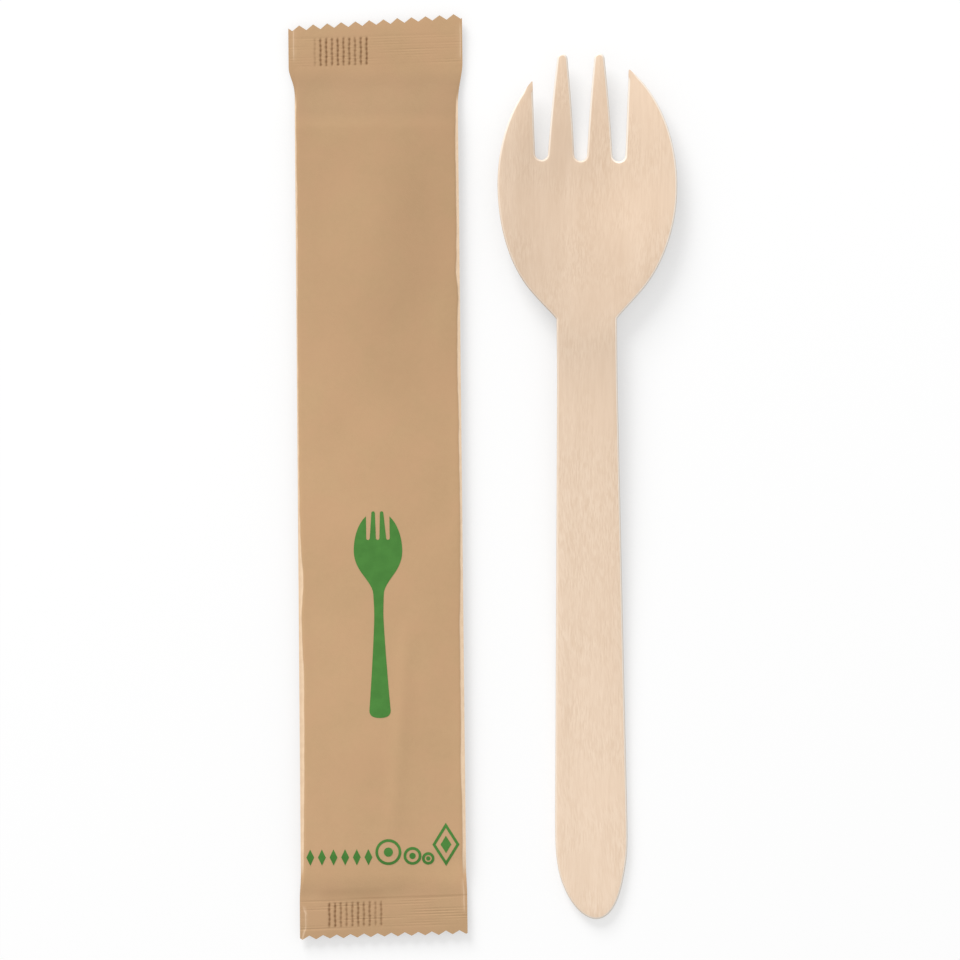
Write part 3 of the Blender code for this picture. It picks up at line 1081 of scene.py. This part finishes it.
# %% Blank, rims and pressing
rim_rounding = 0.38 * mm
rim_steps = 4
sharp_tip_length = 1.7 * mm
bend_slice = 1.4 * mm
rim_margin = 0.02 * mm
rim_angle = 40 * deg
lit_rim_paleness = 0.35
lit_rim_run = 2 * mm
head_rim_run = 14 * mm
flat_handle_share = 0.2
dish_half_width = 19.6 * mm
dish_half_length = 29.5 * mm
spork = flat_shape("spork_wood", spork_outline)
thicken(spork, veneer_thickness)
points = read_points(spork)
outer_tips = [outer_tip(place) for place in (left_tip_place, right_tip_place)]
roundness = []
round_ends, sharp_ends = set(), set()
for edge in spork.data.edges:
    first, second = (points[index] for index in edge.vertices)
    at_tip = min(math.dist((first + second)[:2] / 2, tip) for tip in outer_tips) < sharp_tip_length
    upright = abs(first[2] - second[2]) > veneer_thickness / 2
    roundness.append(0 if upright or at_tip else 1)
    if not upright:
        (sharp_ends if at_tip else round_ends).update(edge.vertices)
weight = spork.data.attributes.new("bevel_weight_edge", "FLOAT", "EDGE")
weight.data.foreach_set("value", np.array(roundness, dtype=np.float32))
modify(spork, "BEVEL", limit_method="WEIGHT", width=rim_rounding, segments=rim_steps, use_clamp_overlap=False)

# Where the rounding stops beside a sharp tip, it ends in a pit. Its points go back to the blank's corner.
spots = read_points(spork)
for end in points[list(round_ends & sharp_ends)]:
    near = np.hypot(spots[:, 0] - end[0], spots[:, 1] - end[1]) < 1.2 * rim_rounding
    spots[near, :2] = end[:2]
write_points(spork, spots)
print("bevelled blank:", len(spork.data.polygons), "faces")
half_head = head_width / 2
slice_up(spork, evenly(head_offset - half_head, head_offset + half_head, bend_slice)[1:-1], (1, 0, 0))
slice_up(spork, evenly(0, spork_length, bend_slice)[1:-1], (0, 1, 0))


def pressed_height(across, along):
    """How far the veneer is lifted: not at the handle's end, most at the neck, and less in the dish."""
    climb = bowl_depth * smooth((along / neck_place - flat_handle_share) / (1 - flat_handle_share))
    reach = ((across - head_offset) / dish_half_width) ** 2 + ((along - head_centre) / dish_half_length) ** 2
    return climb - bowl_depth * np.maximum(1 - reach, 0.0) ** 2


spots = read_points(spork)
flat_height = spots[:, 2].copy()
rim = (flat_height > rim_margin) & (flat_height < veneer_thickness - rim_margin)
spots[:, 2] += pressed_height(spots[:, 0], spots[:, 1])
write_points(spork, spots)
# Pale cut rims: 0.35 of the pale colour on the left, and full, as painted light, at the right, the handle's
# end and the upper head.
away = np.maximum(smooth(spots[:, 0] / lit_rim_run), smooth(1 - spots[:, 1] / lit_rim_run))
away = np.maximum(away, smooth((spots[:, 1] - head_centre) / head_rim_run))
write_mask(spork, "cut", np.where(rim, mix(lit_rim_paleness, 1, away), 0.0))
shade_round(spork, rim_angle)
print("spork:", len(spork.data.polygons), "faces")

# %% [markdown]
# ## Everything in its place
#
# The pieces were made upright from the origin. They are now turned a little, as they lie on the table, and
# moved until the sachet and the spork are each over the middle of their CAD node's box. That is done to the
# meshes themselves, so the objects stay at the origin, and patterns on Object coordinates don't move.


# %% Placing
def set_down(pieces, angle, node):
    """Turns pieces, and moves them until the first one's box is over its CAD node's, as seen from above."""
    for piece in pieces:
        piece.data.transform(Matrix.Rotation(angle, 4, "Z"))
    low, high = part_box(node)
    spots = read_points(pieces[0])
    shift = (low + high) / 2 - Vector((spots.min(axis=0) + spots.max(axis=0)) / 2)
    shift.z = -min(read_points(piece)[:, 2].min() for piece in pieces)
    for piece in pieces:
        piece.data.transform(Matrix.Translation(shift))
    print(node, "moved by", [round(step / mm, 2) for step in shift], "mm")


set_down([sachet, fin, sign, border], sachet_turn, "paper_sachet")
set_down([spork], spork_turn, "wooden_spork")

# %% [markdown]
# ## Finishes
#
# Paper and wood are both made of fibres, at different scales and in different order, so one node group makes
# the streaks for both: noise that is stretched along one direction. A second one makes soft patches of tone.
# Each material then mixes its own colours by them.


# %% Group helpers
def new_group(name, **inputs):
    """A shader group with a Vector input, inputs for numbers with their values, and a Tone output."""
    group = bpy.data.node_groups.new(name, "ShaderNodeTree")
    group.interface.new_socket("Vector", in_out="INPUT", socket_type="NodeSocketVector")
    for socket_name, value in inputs.items():
        socket = group.interface.new_socket(socket_name, in_out="INPUT", socket_type="NodeSocketFloat")
        socket.default_value = value
    group.interface.new_socket("Tone", in_out="OUTPUT", socket_type="NodeSocketFloat")
    return group, add_node(group, "NodeGroupInput").outputs


def noise_in_steps(tree, vector, steps, detail, roughness):
    """Noise whose features are about one step long in each of the three directions."""
    step = add_node(tree, "ShaderNodeCombineXYZ", X=steps[0], Y=steps[1], Z=steps[2])
    scaled = add_node(tree, "ShaderNodeVectorMath", {"operation": "DIVIDE"}, i0=vector, i1=step.outputs[0])
    return add_node(
        tree, "ShaderNodeTexNoise", Vector=scaled.outputs[0], Scale=1.0, Detail=detail, Roughness=roughness
    ).outputs[0]


def ramp(tree, value, low, high):
    """0 where a value is low or less, 1 where it is high or more, or the other way round."""
    smoothly = {"interpolation_type": "SMOOTHSTEP"}
    return add_node(tree, "ShaderNodeMapRange", smoothly, Value=value, From_Min=low, From_Max=high).outputs[0]


# %% Shared groups
streaks, given = new_group("streaks", Direction=0.0, Width=0.2 * mm, Length=2.0 * mm)
axis = add_node(streaks, "ShaderNodeCombineXYZ", Z=given["Direction"])
turned = add_node(
    streaks, "ShaderNodeVectorRotate", {"rotation_type": "EULER_XYZ"},
    Vector=given["Vector"], Rotation=axis.outputs[0],
)
steps = (given["Width"], given["Length"], given["Width"])
add_node(streaks, "NodeGroupOutput", Tone=noise_in_steps(streaks, turned.outputs[0], steps, 2.0, 0.55))

patches, given = new_group("patches", Size=8 * mm)
clouds = noise_in_steps(patches, given["Vector"], [given["Size"]] * 3, 3.0, 0.5)
add_node(patches, "NodeGroupOutput", Tone=ramp(patches, clouds, 0.3, 0.7))


# %% Material helpers
def new_material(name, roughness, specular, pieces):
    """Puts a new material on pieces: returns its tree, its Principled shader and the Object coordinates."""
    material = bpy.data.materials.new(name)
    material.use_nodes = True
    tree = material.node_tree
    shader = tree.nodes["Principled BSDF"]
    shader.inputs["Roughness"].default_value = roughness
    shader.inputs["Specular IOR Level"].default_value = specular
    for piece in pieces:
        piece.data.materials.clear()
        piece.data.materials.append(material)
    return tree, shader, add_node(tree, "ShaderNodeTexCoord").outputs["Object"]


def place_group(tree, group, **inputs):
    """A group's one output, placed in a material with the material's own values."""
    return add_node(tree, "ShaderNodeGroup", {"node_tree": group}, **inputs).outputs[0]


def blend_colour(tree, share, first, second):
    """Two colours mixed by a share."""
    return add_node(tree, "ShaderNodeMix", {"data_type": "RGBA"}, i0=share, i6=first, i7=second).outputs[2]


def brighten(tree, colour, value):
    """A colour times a value."""
    return add_node(tree, "ShaderNodeHueSaturation", Color=colour, Value=value).outputs[0]


def mask_value(tree, name):
    return add_node(tree, "ShaderNodeAttribute", {"attribute_name": name}).outputs["Fac"]


def product(tree, *values):
    """Values multiplied together."""
    result = values[0]
    for value in values[1:]:
        result = maths(tree, "MULTIPLY", result, value)
    return result


def weighted_sum(tree, start, *parts):
    """A start value, plus a share of each of the parts, given as (part, share)."""
    for part, share in parts:
        start = maths(tree, "ADD", start, product(tree, part, share))
    return start


# %% [markdown]
# ### Kraft paper
#
# Unbleached kraft is a warm light brown that is never quite even. It has clouds of slightly lighter and
# redder brown and short fibres in every direction. It shows almost cream where it is creased, partly from
# bruised fibres and partly as painted sheen, and dark brown where the jaws burnt or crushed it, with painted
# shade along the bottom fold.

# %% Kraft material
kraft_dark = (0.520, 0.330, 0.176, 1)
kraft_light = (0.562, 0.360, 0.194, 1)
kraft_rosy = (0.575, 0.345, 0.192, 1)
kraft_wear_and_sheen = (0.86, 0.645, 0.445, 1)
kraft_crushed_and_shade = (0.190, 0.088, 0.030, 1)
fibre_width = 0.16 * mm
fibre_length = 1.5 * mm
kraft_value = 0.935
tree, shader, where = new_material("kraft_paper", 0.68, 0.3, (sachet, fin))
clouds = place_group(tree, patches, Vector=where, Size=11 * mm)
redness = place_group(tree, patches, Vector=where, Size=6.5 * mm)
grit = place_group(tree, patches, Vector=where, Size=1.3 * mm)
fibres = [
    place_group(tree, streaks, Vector=where, Direction=angle, Width=fibre_width, Length=fibre_length)
    for angle in (0.3, 1.35, 2.4)
]
fibre_sum = maths(tree, "ADD", maths(tree, "ADD", fibres[0], fibres[1]), fibres[2])
fibre_tone = ramp(tree, fibre_sum, 1.1, 1.9)
tone = weighted_sum(tree, 0.0, (clouds, 0.45), (grit, 0.2), (fibre_tone, 0.35))
paper_colour = blend_colour(tree, tone, kraft_dark, kraft_light)
paper_colour = blend_colour(tree, product(tree, redness, 0.5), paper_colour, kraft_rosy)

# %% [markdown]
# The slopes near the seals and the seals themselves lie at other angles to the lamp than the body does.
# Painted light and shade in the paper's colour make up for part of that, so that they differ from the body no
# more than on a real sachet: painted light over the slope above the bottom seal and on the top seal, painted
# shade over the slope below the top seal and on the bottom seal. The lower half is lighter than the upper.

# %% Painted light and shade along the sachet
# Places along the pack, in mm from its middle, where each lighter or darker band starts and has finished.
along_sachet = add_node(tree, "ShaderNodeSeparateXYZ", Vector=where).outputs["Y"]
lower_half, foot, top_seal, top_slope_shade_start, top_slope_shade_end, bottom_seal = (
    ramp(tree, along_sachet, start * mm, end * mm)
    for start, end in ((60, -10), (-68.5, -72.5), (74, 77), (64.5, 68), (76, 72.5), (-73, -77.5))
)
# Painted light on the foot and the top seal, painted shade on the top slope and the bottom seal.
value = weighted_sum(
    tree, kraft_value, (lower_half, 0.11), (foot, 0.24), (top_seal, 0.07),
    (product(tree, top_slope_shade_start, top_slope_shade_end), -0.12), (bottom_seal, -0.34),
)
paper_colour = brighten(tree, paper_colour, value)

# %% Creases, crushed ribs, painted sheen and painted shade
# Pale creases: bruised fibres and painted sheen.
worn = product(tree, mask_value(tree, "worn"), weighted_sum(tree, 0.8, (grit, 0.2)))
paper_colour = blend_colour(tree, worn, paper_colour, kraft_wear_and_sheen)
# Dark brown where the ribs crushed the paper, and painted shade at the bottom fold.
crushed_and_shaded = product(tree, mask_value(tree, "crush_and_shade"), weighted_sum(tree, 0.85, (fibre_tone, 0.15)))
paper_colour = blend_colour(tree, crushed_and_shaded, paper_colour, kraft_crushed_and_shade)
tree.links.new(paper_colour, shader.inputs["Base Color"])
bump = add_node(tree, "ShaderNodeBump", Height=fibre_tone, Strength=0.35, Distance=0.02 * mm)
tree.links.new(bump.outputs[0], shader.inputs["Normal"])
print("kraft material:", len(tree.nodes), "nodes")

# %% [markdown]
# ### Green ink
#
# The ink is a thin matt film that the paper's fibres show through as small changes of tone.

# %% Ink material
ink_dark = (0.052, 0.192, 0.028, 1)
ink_light = (0.070, 0.241, 0.039, 1)
tree, shader, where = new_material("green_ink", 0.6, 0.3, (sign, border))
grit = place_group(tree, patches, Vector=where, Size=1.8 * mm)
fibre = place_group(tree, streaks, Vector=where, Direction=1.35, Width=fibre_width, Length=fibre_length)
tone = weighted_sum(tree, 0.0, (grit, 0.6), (fibre, 0.4))
tree.links.new(blend_colour(tree, tone, ink_dark, ink_light), shader.inputs["Base Color"])
print("ink material:", len(tree.nodes), "nodes")

# %% [markdown]
# ### Birch
#
# Birch veneer is pale and even. Close up it has short darker pores along the grain, thicker in some places
# than in others, and broad bands of slightly warmer wood. The punched rims are paler, since the press doesn't
# brown them: a little on the left, and fully, as painted light, at the right, at the handle's end and round
# the upper head. The neck is painted darker and the handle and the tines lighter, as painted shade and
# painted light.

# %% Birch material
birch_dark = (0.748, 0.560, 0.407, 1)
birch_light = (0.865, 0.677, 0.516, 1)
birch_pore = (0.62, 0.43, 0.28, 1)
birch_pale = (0.97, 0.82, 0.66, 1)
birch_cut_and_painted_light = (0.97, 0.87, 0.76, 1)
neck_level = float(read_points(spork)[:, 1].min()) + neck_place
tree, shader, where = new_material("birch_wood", 0.6, 0.3, [spork])
bands, grain, pores, torn = (
    place_group(tree, streaks, Vector=where, Direction=direction, Width=width * mm, Length=length * mm)
    for direction, width, length in ((0.02, 4.5, 45), (0.02, 0.5, 9), (0.02, 0.20, 2.0), (-0.16, 0.32, 2.2))
)
pore_places = place_group(tree, patches, Vector=where, Size=8 * mm)
torn_places = place_group(tree, patches, Vector=where, Size=12 * mm)
down = add_node(tree, "ShaderNodeSeparateXYZ", Vector=where).outputs["Y"]
# Places along the spork, in mm from its neck, where each part of the wood starts to change and has changed.
handle, neck_top, neck_foot, painted_tine_light = (
    ramp(tree, down, neck_level + start * mm, neck_level + end * mm)
    for start, end in ((0, -55), (22, 6), (-20, -4), (26, 44))
)
tone = weighted_sum(
    tree, 0.0, (ramp(tree, bands, 0.3, 0.7), 0.35), (ramp(tree, grain, 0.3, 0.7), 0.25), (handle, 0.45)
)
wood_colour = blend_colour(tree, tone, birch_dark, birch_light)
for flecks, places, share in ((pores, pore_places, 0.17), (torn, product(tree, torn_places, handle), 0.12)):
    dark_part = ramp(tree, flecks, 0.42, 0.58)
    pale_part = maths(tree, "SUBTRACT", 1.0, dark_part)
    wood_colour = blend_colour(tree, product(tree, dark_part, places, share), wood_colour, birch_pore)
    wood_colour = blend_colour(tree, product(tree, pale_part, places, share), wood_colour, birch_pale)
# Painted shade at the neck, and painted light on the handle and the tines.
painted_neck_shade = product(tree, neck_top, neck_foot)
value = weighted_sum(tree, 1.0, (handle, 0.04), (painted_neck_shade, -0.08), (painted_tine_light, 0.13))
wood_colour = brighten(tree, wood_colour, value)
# Pale cut rims, with painted light where the mask is full.
wood_colour = blend_colour(tree, mask_value(tree, "cut"), wood_colour, birch_cut_and_painted_light)
tree.links.new(wood_colour, shader.inputs["Base Color"])
bump = add_node(tree, "ShaderNodeBump", Height=pores, Strength=0.3, Distance=0.03 * mm)
tree.links.new(bump.outputs[0], shader.inputs["Normal"])
print("birch material:", len(tree.nodes), "nodes")

# %% [markdown]
# ## Handing over
#
# Each piece rides on the pack's one body, and the CAD node that it stands for is hidden.

# %% Last cell
for piece, node, finish in (
    (sachet, "paper_sachet", "kraft_paper"),
    (fin, "paper_sachet", "kraft_paper"),
    (sign, "paper_sachet", "green_ink"),
    (border, "paper_sachet", "green_ink"),
    (spork, "wooden_spork", "birch_wood"),
):
    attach(piece, "root")
    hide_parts(node)

bpy.context.scene.view_settings.view_transform = "Standard"
